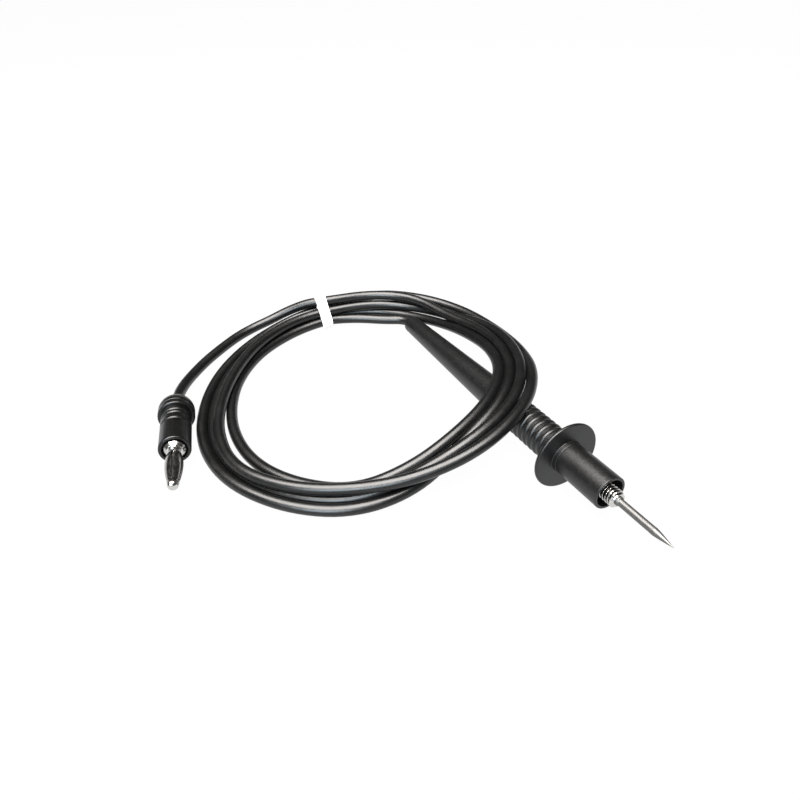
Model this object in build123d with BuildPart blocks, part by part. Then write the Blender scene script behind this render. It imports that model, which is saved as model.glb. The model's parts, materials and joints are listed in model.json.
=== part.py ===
"""Needle test probe on a coiled lead with a 4 mm plug. Millimetres, +Z up, standing on z = 0.

The probe's axis lies over +X, tip forwards, nose tilted up: it rests on its finger guard and its tail.
The origin is on the floor, midway between the probe's tail and its tip.
"""
from build123d import *
from math import atan, cos, pi, radians, sin, tan
import os

# ---------------------------------------------------------------- driving dimensions
CORD_R = 1.8             # jacket of the round cord
CORE_R = 0.75            # stranded conductor
EDGE_R = 0.4             # round on the moulded edges that touch the floor

# probe: stations along its axis, from the middle of the finger guard, forwards positive
TAIL_S = -92.1
TAIL_R = 3.15
TAPER_END_S = -26.0
TAPER_END_R = 5.1
GRIP_ROOT_R = 4.85       # between the ribs
RIB_R = 0.85             # round section of a rib
RIB_CREST_R = 5.28
RIB_PITCH = 2.25
RIB_COUNT = 9
FIRST_RIB_S = -3.6
GRIP_START_S = -22.7
GRIP_END_S = -2.4
COLLAR_R = 5.15
GUARD_R = 10.2
GUARD_T = 1.0
BOSS_R = 5.0
BOSS_END_S = 1.9
SPIGOT_R = 3.9
SPIGOT_END_S = 8.5
NOSE_R = 4.85
NOSE_END_S = 17.2
NOSE_RECESS_R = 4.05
WEB_START_S = 9.5
WEB_END_S = 10.5
WIRE_BORE_R = 1.9
CHAMBER_R = 3.0
CHAMBER_START_S = -17.0
STUD_R = 2.415           # No. 10 thread, 4.83 mm across its crests
STUD_END_S = 20.2
STUD_FLANGE_R = 3.7
KNURL_R = 2.97
KNURL_START_S = 1.0
CUP_R = 2.1
CUP_START_S = -6.0
CUP_BORE_R = 0.95
CUP_FLOOR_S = -0.5
NEEDLE_R = 1.03
NEEDLE_START_S = 12.5
NEEDLE_CONE_S = 31.8
TIP_S = 37.6
TIP_R = 0.06

# plug: stations along its axis, from the front rim of the barrel, towards the pin's tip positive
PLUG_POS = (-28.5, -95.6)
PLUG_HEADING = -9.6
PLUG_RISE = 7.1          # the plug rests on its cap, with its pin held up by the cord
PLUG_R = 4.6
PLUG_RECESS_R = 3.7
PLUG_STEP_U = -3.2
CLAMP_R = 2.6
CLAMP_START_U = -16.0
CAP_R = 5.6
CAP_FRONT_U = -18.4
CAP_SHOULDER_U = -21.4
CAP_REAR_U = -26.0
CAP_WALL_U = -24.4
SPIGOT_REAR_U = -23.4
PLUG_SPIGOT_R = 4.05
CAP_BORE_R = 4.12
PIN_R = 1.15
PIN_FLANGE_R = 3.1
SPRING_IN_R = 1.2
SPRING_OUT_R = 1.55
SPRING_BULGE_R = 2.4
LEAF_T = 0.28
SPRING_START_U = 1.1
LEAF_START_U = 1.6
LEAF_END_U = 15.4
SPRING_END_U = 16.3
PLUG_TIP_U = 17.8

# coil: turns about an upright line through COIL_CENTRE, angles anticlockwise from +X
COIL_CENTRE = (-36.9, -32.0)
TIE_ANGLE = 176.0
TIE_LEAN = 5.0           # the strap's top leans along the bundle, away from the probe's tail
TIE_WIDTH = 4.0
STRAP_T = 1.1
STRAP_GAP = 0.1
TIE_HEAD = (5.2, 3.6)
TIE_HEAD_PLACE = (55.5, 3.4)
TIE_HEAD_TURN = 62
# radius about the coil's centre and height of each cord in the tie, in the order of the cord's run
TIE_SLOTS = [(46.8, 3.0), (50.4, 3.0), (48.4, 6.2), (52.0, 6.2), (50.2, 9.8)]

os.makedirs("parts", exist_ok=True)

# ---------------------------------------------------------------- frames of the probe and the plug
TILT = atan((GUARD_R - TAIL_R) / (-TAIL_S - GUARD_T / 2))
GUARD_Z = (GUARD_R - EDGE_R) * cos(TILT) + (GUARD_T / 2 - EDGE_R) * sin(TILT) + EDGE_R
GUARD_X = -((TAIL_S + TIP_S) * cos(TILT) - TAIL_R * sin(TILT)) / 2
PROBE_SIDE = Plane(origin=(GUARD_X, 0, GUARD_Z), x_dir=(cos(TILT), 0, sin(TILT)), z_dir=(0, -1, 0))
PROBE_AXIS = Axis(PROBE_SIDE.origin, PROBE_SIDE.x_dir)

HEADING = radians(PLUG_HEADING)
RISE = radians(PLUG_RISE)
PLUG_Z = CAP_R * cos(RISE) - CAP_SHOULDER_U * sin(RISE)
PLUG_DIR = (cos(HEADING) * cos(RISE), sin(HEADING) * cos(RISE), sin(RISE))
PLUG_SIDE = Plane(
    origin=(PLUG_POS[0], PLUG_POS[1], PLUG_Z), x_dir=PLUG_DIR, z_dir=(sin(HEADING), -cos(HEADING), 0)
)
PLUG_AXIS = Axis(PLUG_SIDE.origin, PLUG_SIDE.x_dir)


def crosswise(side, station):
    """The plane square to a side plane's axis, at a station along that axis."""
    return Plane(origin=side.from_local_coords((station, 0, 0)), x_dir=side.y_dir, z_dir=side.x_dir)


def save(piece, name):
    piece.part.label = name
    export_step(piece.part, f"parts/{name}.step")


# ================================================================ probe
with BuildPart() as probe_handle:
    with BuildSketch(PROBE_SIDE):
        with BuildLine():
            Polyline(
                (TAIL_S, 0), (TAIL_S, TAIL_R), (TAPER_END_S, TAPER_END_R), (GRIP_START_S, TAPER_END_R),
                (GRIP_START_S, GRIP_ROOT_R), (GRIP_END_S, GRIP_ROOT_R), (GRIP_END_S, COLLAR_R), (0, COLLAR_R),
                (0, BOSS_R), (BOSS_END_S - EDGE_R, BOSS_R), (BOSS_END_S, BOSS_R - EDGE_R),
                (BOSS_END_S, SPIGOT_R), (SPIGOT_END_S, SPIGOT_R), (SPIGOT_END_S, 0), close=True,
            )
        make_face()
        guard_foot_r = CHAMBER_R + 0.5
        with Locations((0, (GUARD_R + guard_foot_r) / 2)):
            RectangleRounded(GUARD_T, GUARD_R - guard_foot_r, EDGE_R)
        with Locations(*[(FIRST_RIB_S - k * RIB_PITCH, RIB_CREST_R - RIB_R) for k in range(RIB_COUNT)]):
            Circle(RIB_R)
    revolve(axis=PROBE_AXIS)
    tail_edge = probe_handle.edges().filter_by(GeomType.CIRCLE).sort_by(Axis.X)[0]
    fillet(tail_edge, radius=EDGE_R)
    with BuildSketch(PROBE_SIDE):
        with BuildLine():
            Polyline(
                (TAIL_S, 0), (TAIL_S, WIRE_BORE_R), (CHAMBER_START_S, WIRE_BORE_R),
                (CHAMBER_START_S, CHAMBER_R), (SPIGOT_END_S, CHAMBER_R), (SPIGOT_END_S, 0), close=True,
            )
        make_face()
    revolve(axis=PROBE_AXIS, mode=Mode.SUBTRACT)
save(probe_handle, "probe_handle")

with BuildPart() as nose_sleeve:
    with BuildSketch(PROBE_SIDE):
        with BuildLine():
            Polyline(
                (BOSS_END_S, SPIGOT_R), (BOSS_END_S, NOSE_R), (NOSE_END_S, NOSE_R),
                (NOSE_END_S, NOSE_RECESS_R), (WEB_END_S, NOSE_RECESS_R), (WEB_END_S, STUD_R + 0.1),
                (WEB_START_S, STUD_R + 0.1), (WEB_START_S, SPIGOT_R), close=True,
            )
        make_face()
    revolve(axis=PROBE_AXIS)
    rim = nose_sleeve.edges().filter_by(GeomType.CIRCLE).sort_by(Axis.X)[-2:]
    fillet(rim, radius=0.25)
save(nose_sleeve, "nose_sleeve")

with BuildPart() as tip_stud:
    with BuildSketch(PROBE_SIDE):
        with BuildLine():
            Polyline(
                (CUP_START_S, CUP_BORE_R), (CUP_START_S, CUP_R), (KNURL_START_S, CUP_R),
                (SPIGOT_END_S, CUP_R), (SPIGOT_END_S, STUD_FLANGE_R), (WEB_START_S, STUD_FLANGE_R),
                (WEB_START_S, STUD_R), (STUD_END_S - 0.45, STUD_R), (STUD_END_S, STUD_R - 0.45),
                (STUD_END_S, NEEDLE_R), (NEEDLE_START_S, NEEDLE_R), (NEEDLE_START_S, 0),
                (CUP_FLOOR_S, 0), (CUP_FLOOR_S, CUP_BORE_R), close=True,
            )
        make_face()
    revolve(axis=PROBE_AXIS)
    with BuildSketch(crosswise(PROBE_SIDE, KNURL_START_S)):
        RegularPolygon(radius=KNURL_R, side_count=24)
    extrude(amount=SPIGOT_END_S - KNURL_START_S)
save(tip_stud, "tip_stud")

with BuildPart() as needle:
    with BuildSketch(PROBE_SIDE):
        with BuildLine():
            Polyline(
                (TIP_S, 0), (NEEDLE_START_S, 0), (NEEDLE_START_S, NEEDLE_R), (STUD_END_S, NEEDLE_R),
                (STUD_END_S, 1.3), (STUD_END_S + 0.4, 1.3), (STUD_END_S + 0.7, NEEDLE_R),
                (NEEDLE_CONE_S, NEEDLE_R),
            )
            ThreePointArc(
                (NEEDLE_CONE_S, NEEDLE_R),
                ((NEEDLE_CONE_S + TIP_S) / 2, (NEEDLE_R + TIP_R) / 2 + 0.1),
                (TIP_S, TIP_R),
            )
            Line((TIP_S, TIP_R), (TIP_S, 0))
        make_face()
    revolve(axis=PROBE_AXIS)
save(needle, "needle")

with BuildPart() as solder_joint:
    with BuildSketch(PROBE_SIDE):
        with BuildLine():
            Polyline(
                (CUP_START_S - 0.9, CORE_R), (CUP_START_S, CUP_R - 0.5), (CUP_START_S, CUP_BORE_R),
                (CUP_FLOOR_S, CUP_BORE_R), (CUP_FLOOR_S, CORE_R), close=True,
            )
        make_face()
    revolve(axis=PROBE_AXIS)
save(solder_joint, "solder_joint")

JACKET_END_S = -9.0
SHRINK_LAP = 3.0         # how far the sleeve reaches over the jacket
SHRINK_T = 0.35
SHRINK_STEP_S = CUP_START_S - 0.8
SHRINK_END_S = KNURL_START_S - 0.4
with BuildPart() as insulating_sleeve:
    with BuildSketch(PROBE_SIDE):
        with BuildLine():
            Polyline(
                (JACKET_END_S - SHRINK_LAP, CORD_R), (JACKET_END_S, CORD_R), (SHRINK_STEP_S, CUP_R),
                (SHRINK_END_S, CUP_R), (SHRINK_END_S, CUP_R + SHRINK_T),
                (SHRINK_STEP_S, CUP_R + SHRINK_T), (JACKET_END_S, CORD_R + SHRINK_T),
                (JACKET_END_S - SHRINK_LAP, CORD_R + SHRINK_T), close=True,
            )
        make_face()
    revolve(axis=PROBE_AXIS)
save(insulating_sleeve, "insulating_sleeve")

FERRULE_LENGTH = 3.5
FERRULE_R = 2.45
with BuildPart() as crimp_ferrule:
    with BuildSketch(crosswise(PROBE_SIDE, CHAMBER_START_S)):
        Circle(FERRULE_R)
        Circle(CORD_R, mode=Mode.SUBTRACT)
    extrude(amount=FERRULE_LENGTH)
    ends = crimp_ferrule.edges().filter_by(GeomType.CIRCLE).filter_by(lambda e: e.radius > CORD_R + 0.1)
    chamfer(ends, length=0.2)
save(crimp_ferrule, "crimp_ferrule")

with BuildPart() as core_probe_end:
    with BuildSketch(crosswise(PROBE_SIDE, TAIL_S)):
        Circle(CORE_R)
    extrude(amount=CUP_FLOOR_S - TAIL_S)
save(core_probe_end, "core_probe_end")

with BuildPart() as cord_in_handle:
    with BuildSketch(crosswise(PROBE_SIDE, TAIL_S)):
        Circle(CORD_R)
        Circle(CORE_R, mode=Mode.SUBTRACT)
    extrude(amount=JACKET_END_S - TAIL_S)
save(cord_in_handle, "cord_in_handle")

# ================================================================ plug
RING_GROOVES_U = (-16.2, -14.4, -11.1)
CAP_GROOVES_U = (-21.0,)
GROOVE_R = 0.3

with BuildPart() as plug_sleeve:
    with BuildSketch(PLUG_SIDE):
        with BuildLine():
            Polyline(
                (0, PLUG_RECESS_R), (0, PLUG_R), (CAP_FRONT_U, PLUG_R), (CAP_FRONT_U, PLUG_SPIGOT_R),
                (SPIGOT_REAR_U, PLUG_SPIGOT_R), (SPIGOT_REAR_U, CHAMBER_R), (CLAMP_START_U - 0.5, CHAMBER_R),
                (CLAMP_START_U - 0.5, CLAMP_R), (PLUG_STEP_U, CLAMP_R), (PLUG_STEP_U, PLUG_RECESS_R),
                close=True,
            )
        make_face()
        with Locations(*[(u, PLUG_R) for u in RING_GROOVES_U]):
            Circle(GROOVE_R, mode=Mode.SUBTRACT)
    revolve(axis=PLUG_AXIS)
    front = plug_sleeve.edges().filter_by(GeomType.CIRCLE).filter_by(lambda e: e.radius > PLUG_R - 0.01)
    fillet(front.sort_by(Axis.X)[-1], radius=EDGE_R)
save(plug_sleeve, "plug_sleeve")

CAP_REAR_R = 3.3
with BuildPart() as plug_cap:
    with BuildSketch(PLUG_SIDE):
        with BuildLine():
            Polyline(
                (CAP_FRONT_U, CAP_BORE_R), (CAP_FRONT_U, CAP_R - EDGE_R), (CAP_FRONT_U - EDGE_R, CAP_R),
                (CAP_SHOULDER_U, CAP_R),
            )
            ThreePointArc(
                (CAP_SHOULDER_U, CAP_R),
                ((CAP_SHOULDER_U + CAP_REAR_U) / 2 - 0.4, (CAP_R + CAP_REAR_R) / 2 + 0.45),
                (CAP_REAR_U, CAP_REAR_R),
            )
            Polyline(
                (CAP_REAR_U, CAP_REAR_R), (CAP_REAR_U, CORD_R + 0.3), (CAP_WALL_U, CORD_R + 0.3),
                (CAP_WALL_U, CAP_BORE_R), (CAP_FRONT_U, CAP_BORE_R),
            )
        make_face()
        with Locations(*[(u, CAP_R) for u in CAP_GROOVES_U]):
            Circle(GROOVE_R, mode=Mode.SUBTRACT)
    revolve(axis=PLUG_AXIS)
save(plug_cap, "plug_cap")

BUSH_R = 3.9
BUSH_NOSE_R = 2.9
BUSH_BORE_R = CORD_R + 0.08
with BuildPart() as cord_bush:
    with BuildSketch(PLUG_SIDE):
        with BuildLine():
            Polyline(
                (CAP_WALL_U + 0.05, BUSH_BORE_R), (CAP_WALL_U + 0.05, BUSH_R), (SPIGOT_REAR_U - 0.05, BUSH_R),
                (SPIGOT_REAR_U - 0.05, BUSH_NOSE_R), (SPIGOT_REAR_U + 1.4, BUSH_NOSE_R),
                (SPIGOT_REAR_U + 2.4, BUSH_NOSE_R - 0.6), (SPIGOT_REAR_U + 2.4, BUSH_BORE_R), close=True,
            )
        make_face()
    revolve(axis=PLUG_AXIS)
save(cord_bush, "cord_bush")

SCREW_U = -10.5
SCREW_R = 1.0
HEAD_START_U = SPRING_END_U + 0.2
HEAD_R = 1.5
PIN_FLAT_R = 0.2
CLAMP_BORE_R = 0.85
CLAMP_FLOOR_U = -7.0
with BuildPart() as plug_core:
    with BuildSketch(PLUG_SIDE):
        with BuildLine():
            Polyline(
                (CLAMP_FLOOR_U, 0), (CLAMP_FLOOR_U, CLAMP_BORE_R), (CLAMP_START_U, CLAMP_BORE_R),
                (CLAMP_START_U, CLAMP_R), (PLUG_STEP_U, CLAMP_R), (PLUG_STEP_U, PIN_FLANGE_R),
                (SPRING_START_U - 1.1, PIN_FLANGE_R), (SPRING_START_U - 0.2, PIN_FLANGE_R - 0.8),
                (SPRING_START_U - 0.2, PIN_R), (HEAD_START_U, PIN_R), (HEAD_START_U, HEAD_R),
                (HEAD_START_U + 0.3, HEAD_R),
            )
            ThreePointArc(
                (HEAD_START_U + 0.3, HEAD_R), (HEAD_START_U + 1.2, HEAD_R * 0.72), (PLUG_TIP_U, PIN_FLAT_R)
            )
            Polyline((PLUG_TIP_U, PIN_FLAT_R), (PLUG_TIP_U, 0), (CLAMP_FLOOR_U, 0))
        make_face()
    revolve(axis=PLUG_AXIS)
    with BuildSketch(Plane(origin=PLUG_SIDE.from_local_coords((SCREW_U, 0, 0)), x_dir=PLUG_SIDE.x_dir,
                           z_dir=PLUG_SIDE.y_dir)):
        Circle(SCREW_R + 0.05)
    extrude(amount=CLAMP_R + 0.5, mode=Mode.SUBTRACT)
save(plug_core, "plug_core")

SCREW_FOOT = CORE_R + 0.02
SCREW_LENGTH = 1.5
with BuildPart() as clamp_screw:
    with BuildSketch(Plane(origin=PLUG_SIDE.from_local_coords((SCREW_U, SCREW_FOOT, 0)),
                           x_dir=PLUG_SIDE.x_dir, z_dir=PLUG_SIDE.y_dir)):
        Circle(SCREW_R)
    extrude(amount=SCREW_LENGTH)
    with BuildSketch(Plane(origin=PLUG_SIDE.from_local_coords((SCREW_U, SCREW_FOOT + SCREW_LENGTH, 0)),
                           x_dir=PLUG_SIDE.x_dir, z_dir=PLUG_SIDE.y_dir)):
        Rectangle(2 * SCREW_R, 0.4)
    extrude(amount=-0.7, mode=Mode.SUBTRACT)
save(clamp_screw, "clamp_screw")

SLOT_W = 0.95
LEAF_MID_U = (LEAF_START_U + LEAF_END_U) / 2
with BuildPart() as contact_spring:
    with BuildSketch(PLUG_SIDE):
        with BuildLine():
            Polyline(
                (LEAF_END_U, SPRING_OUT_R), (SPRING_END_U - 0.3, SPRING_OUT_R),
                (SPRING_END_U, SPRING_OUT_R - 0.2), (SPRING_END_U, SPRING_IN_R), (LEAF_END_U, SPRING_IN_R),
            )
            ThreePointArc(
                (LEAF_END_U, SPRING_IN_R), (LEAF_MID_U, SPRING_BULGE_R - LEAF_T), (LEAF_START_U, SPRING_IN_R)
            )
            Polyline(
                (LEAF_START_U, SPRING_IN_R), (SPRING_START_U, SPRING_IN_R), (SPRING_START_U, SPRING_OUT_R),
                (LEAF_START_U, SPRING_OUT_R),
            )
            ThreePointArc(
                (LEAF_START_U, SPRING_OUT_R), (LEAF_MID_U, SPRING_BULGE_R), (LEAF_END_U, SPRING_OUT_R)
            )
        make_face()
    revolve(axis=PLUG_AXIS)
    with BuildSketch(crosswise(PLUG_SIDE, LEAF_START_U + 0.2)):
        Rectangle(SLOT_W, 3 * SPRING_BULGE_R)
        Rectangle(3 * SPRING_BULGE_R, SLOT_W)
    extrude(amount=LEAF_END_U - LEAF_START_U - 0.4, mode=Mode.SUBTRACT)
save(contact_spring, "contact_spring")

with BuildPart() as core_plug_end:
    with BuildSketch(crosswise(PLUG_SIDE, CAP_REAR_U)):
        Circle(CORE_R)
    extrude(amount=CLAMP_FLOOR_U - 0.5 - CAP_REAR_U)
save(core_plug_end, "core_plug_end")

with BuildPart() as cord_in_plug:
    with BuildSketch(crosswise(PLUG_SIDE, CAP_REAR_U)):
        Circle(CORD_R)
        Circle(CORE_R, mode=Mode.SUBTRACT)
    extrude(amount=CLAMP_START_U - 0.5 - CAP_REAR_U)
save(cord_in_plug, "cord_in_plug")


# ================================================================ cord
def around(angle, radius, z):
    """A point at an angle and a radius about the coil's centre."""
    a = radians(angle)
    return (COIL_CENTRE[0] + radius * cos(a), COIL_CENTRE[1] + radius * sin(a), z)


def bends(route):
    """Bend radii for a route: each arc as large as its two runs allow."""
    radii = []
    for before, here, after in zip(route, route[1:], route[2:]):
        run_in = Vector(*here) - Vector(*before)
        run_out = Vector(*after) - Vector(*here)
        turn = radians(run_in.get_angle(run_out))
        radii.append(0.45 * min(run_in.length, run_out.length) / tan(turn / 2))
    return radii


TAIL_POINT = tuple(PROBE_SIDE.from_local_coords((TAIL_S, 0, 0)))
CAP_POINT = tuple(PLUG_SIDE.from_local_coords((CAP_REAR_U, 0, 0)))

# the cord's route from the tail to the tie, and from the tie to the plug
EXIT_ROUTE = [
    TAIL_POINT,
    tuple(PROBE_SIDE.from_local_coords((TAIL_S - 4.4, 0, 0))),
    (-73.2, -7.6, 2.6),
    (-79.0, -15.6, 2.6),
    (-82.2, -23.0, 2.8),
    around(TIE_ANGLE, *TIE_SLOTS[0]),
]
LEAD_ROUTE = [
    around(TIE_ANGLE, *TIE_SLOTS[4]),
    (-89.7, -33.8, 9.0),
    (-92.6, -41.0, 6.3),
    (-93.6, -48.2, 3.7),
    (-93.4, -55.6, 2.3),
    (-90.7, -62.8, 1.85),
    (-85.7, -69.8, 1.85),
    (-79.9, -76.9, 1.9),
    (-73.3, -83.0, 2.1),
    (-66.8, -87.2, 3.1),
    tuple(PLUG_SIDE.from_local_coords((CAP_REAR_U - 5.5, 0, 0))),
    CAP_POINT,
]

cord_routes = {"cord_exit": EXIT_ROUTE, "cord_lead": LEAD_ROUTE}
for name, route in cord_routes.items():
    bend_radii = bends(route)
    with BuildPart() as cord_piece:
        with BuildLine() as path:
            FilletPolyline(*route, radius=bend_radii)
        with BuildSketch(Plane(origin=path.line @ 0, z_dir=path.line % 0)):
            Circle(CORD_R)
        sweep()
    save(cord_piece, name)
    centreline = sum(edge.length for edge in path.edges())
    ratio = cord_piece.part.volume / (pi * CORD_R**2 * centreline)
    print(name, "length", round(centreline, 1), "volume over section times length", round(ratio, 4))
    print("  bend radii", [round(r, 1) for r in bend_radii])

# the coil's outer shape: angle, inner and outer radius, underside at the inner and outer radius, height
COIL_STATIONS = [
    (176, 45.0, 53.8, 1.2, 1.2, 9.6),
    (194, 44.6, 55.2, 0.0, 0.0, 8.6),
    (213, 44.1, 54.8, 0.0, 0.0, 7.0),
    (236, 43.4, 54.5, 0.0, 0.0, 6.9),
    (258, 43.2, 55.3, 0.0, 0.0, 7.2),
    (278, 44.0, 57.4, 0.0, 0.0, 7.2),
    (295, 45.1, 58.6, 0.0, 0.0, 7.3),
    (313, 45.1, 57.4, 0.0, 0.0, 7.3),
    (332, 45.0, 56.0, 0.4, 0.0, 7.9),
    (350, 43.2, 54.4, 4.0, 1.6, 8.6),
    (5, 41.6, 55.4, 8.2, 5.6, 8.2),
    (20, 41.2, 57.8, 11.0, 11.0, 5.6),
    (36, 41.6, 58.2, 12.2, 14.4, 3.9),
    (54, 41.7, 56.6, 12.4, 12.8, 3.9),
    (74, 40.5, 55.0, 10.4, 8.6, 5.4),
    (93, 40.0, 54.7, 7.2, 6.2, 6.2),
    (108, 41.6, 55.6, 4.2, 4.6, 6.4),
    (122, 44.0, 55.9, 2.2, 4.0, 7.6),
    (138, 46.3, 55.7, 1.2, 2.8, 9.1),
    (156, 46.4, 55.2, 1.2, 2.0, 9.8),
]
CORNER = 1.3


def coil_section(angle, inner, outer, foot_in, foot_out, height):
    """A closed outline with its corners cut, upright in the half plane at an angle."""
    slope = (foot_out - foot_in) / (outer - inner)
    corners = [
        (inner + CORNER, foot_in + slope * CORNER),
        (outer - CORNER, foot_out - slope * CORNER),
        (outer, foot_out + CORNER),
        (outer, foot_out + height - CORNER),
        (outer - CORNER, foot_out - slope * CORNER + height),
        (inner + CORNER, foot_in + slope * CORNER + height),
        (inner, foot_in + height - CORNER),
        (inner, foot_in + CORNER),
    ]
    return Face(Wire.make_polygon([around(angle, r, z) for r, z in corners], close=True))


with BuildPart() as cord_coil:
    loop = COIL_STATIONS + COIL_STATIONS[:1]
    for first, second in zip(loop, loop[1:]):
        add(Solid.make_loft([coil_section(*first).outer_wire(), coil_section(*second).outer_wire()], True))
save(cord_coil, "cord_coil")

# the tie: its strap follows the five cords in it, and its head lies on the outer side
TIE_HEIGHT = TIE_SLOTS[2][1]
TIE_OUT = Vector(cos(radians(TIE_ANGLE)), sin(radians(TIE_ANGLE)), 0)
TIE_ALONG = Vector(-sin(radians(TIE_ANGLE)), cos(radians(TIE_ANGLE)), 0)
TIE_UP = Vector(0, 0, 1) * cos(radians(TIE_LEAN)) + TIE_ALONG * sin(radians(TIE_LEAN))
TIE_PLANE = Plane(origin=around(TIE_ANGLE, 0, TIE_HEIGHT), x_dir=TIE_OUT, z_dir=TIE_OUT.cross(TIE_UP))


def in_tie(radius, z):
    """A point of the leaning tie's plane at a radius and a height."""
    return (radius, (z - TIE_HEIGHT) / cos(radians(TIE_LEAN)))


cords_in_tie = [in_tie(*slot) for slot in TIE_SLOTS]
with BuildPart() as cable_tie:
    with BuildSketch(TIE_PLANE):
        with Locations(*cords_in_tie):
            Circle(CORD_R + STRAP_GAP + STRAP_T)
        make_hull()
    extrude(amount=TIE_WIDTH / 2, both=True)
    with BuildSketch(TIE_PLANE):
        with Locations(Location(in_tie(*TIE_HEAD_PLACE), TIE_HEAD_TURN)):
            RectangleRounded(*TIE_HEAD, 0.7)
    extrude(amount=TIE_WIDTH / 2 + 0.9, both=True)
    with BuildSketch(TIE_PLANE):
        with Locations(*cords_in_tie):
            Circle(CORD_R + STRAP_GAP)
        make_hull()
    extrude(amount=TIE_WIDTH, both=True, mode=Mode.SUBTRACT)
save(cable_tie, "cable_tie")
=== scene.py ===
"""A needle test probe with its coiled lead and 4 mm plug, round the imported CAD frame, in metres."""
import json
from math import atan2, ceil, cos, pi, radians, sin, sqrt, tan

import bmesh
import bpy
from mathutils import Matrix, Vector


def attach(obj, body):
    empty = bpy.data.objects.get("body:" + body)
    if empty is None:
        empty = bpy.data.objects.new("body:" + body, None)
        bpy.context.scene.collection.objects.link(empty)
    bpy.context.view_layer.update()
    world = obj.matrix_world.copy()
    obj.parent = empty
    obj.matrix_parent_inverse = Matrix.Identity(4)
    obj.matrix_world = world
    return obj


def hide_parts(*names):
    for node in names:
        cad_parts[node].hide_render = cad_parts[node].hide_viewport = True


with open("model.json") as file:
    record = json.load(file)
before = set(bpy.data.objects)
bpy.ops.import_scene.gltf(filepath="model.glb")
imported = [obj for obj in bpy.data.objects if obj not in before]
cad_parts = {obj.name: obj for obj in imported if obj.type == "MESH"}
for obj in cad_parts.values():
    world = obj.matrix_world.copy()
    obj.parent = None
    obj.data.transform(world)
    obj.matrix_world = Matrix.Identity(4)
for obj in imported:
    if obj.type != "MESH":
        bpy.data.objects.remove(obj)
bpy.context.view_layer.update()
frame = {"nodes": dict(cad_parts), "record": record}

MM = 0.001
scene = bpy.context.scene


# ---------------------------------------------------------------- places, from the frame
MOUNTS = {mount["name"]: mount for mount in frame["record"]["mounts"]}


def place_at(mount_name, station):
    """A matrix with +X along a mount's axis, and its origin where that axis has station 0 (mm)."""
    mount = MOUNTS[mount_name]
    along = Vector(mount["axis"]).normalized()
    side = Vector((0, 0, 1)).cross(along).normalized()
    up = along.cross(side)
    origin = Vector(mount["pos_m"]) - along * station * MM
    return Matrix.Translation(origin) @ Matrix((along, side, up)).transposed().to_4x4()


# Stations are in mm along each axis: s on the probe, with 0 at the middle of its finger guard, and
# u on the plug, with 0 at the barrel's front rim.
NEEDLE_MOUNT_S, PIN_MOUNT_U = 26.4, 6.0
TAIL_S, CAP_REAR_U = -92.1, -26.0
PROBE = place_at("needle_shaft", NEEDLE_MOUNT_S)
PLUG = place_at("plug_pin", PIN_MOUNT_U)

# ---------------------------------------------------------------- camera
CAMERA_PLACE = Vector((0.1129, -0.0899, 0.1241))
CAMERA_LOOK = Vector((-0.7065, 0.3333, -0.6243))
CAMERA_UP = Vector((-0.5497, 0.2971, 0.7807))
CAMERA_LENS = 26.55
CAMERA_SENSOR = 36
CAMERA_NEAR = 0.005

camera_data = bpy.data.cameras.new("camera")
camera_data.lens = CAMERA_LENS
camera_data.sensor_width = CAMERA_SENSOR
camera_data.clip_start = CAMERA_NEAR
camera = bpy.data.objects.new("camera", camera_data)
scene.collection.objects.link(camera)
look = CAMERA_LOOK.normalized()
right = look.cross(CAMERA_UP).normalized()
camera.matrix_world = Matrix.Translation(CAMERA_PLACE) @ Matrix(
    (right, right.cross(look), -look)
).transposed().to_4x4()
scene.camera = camera


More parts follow.
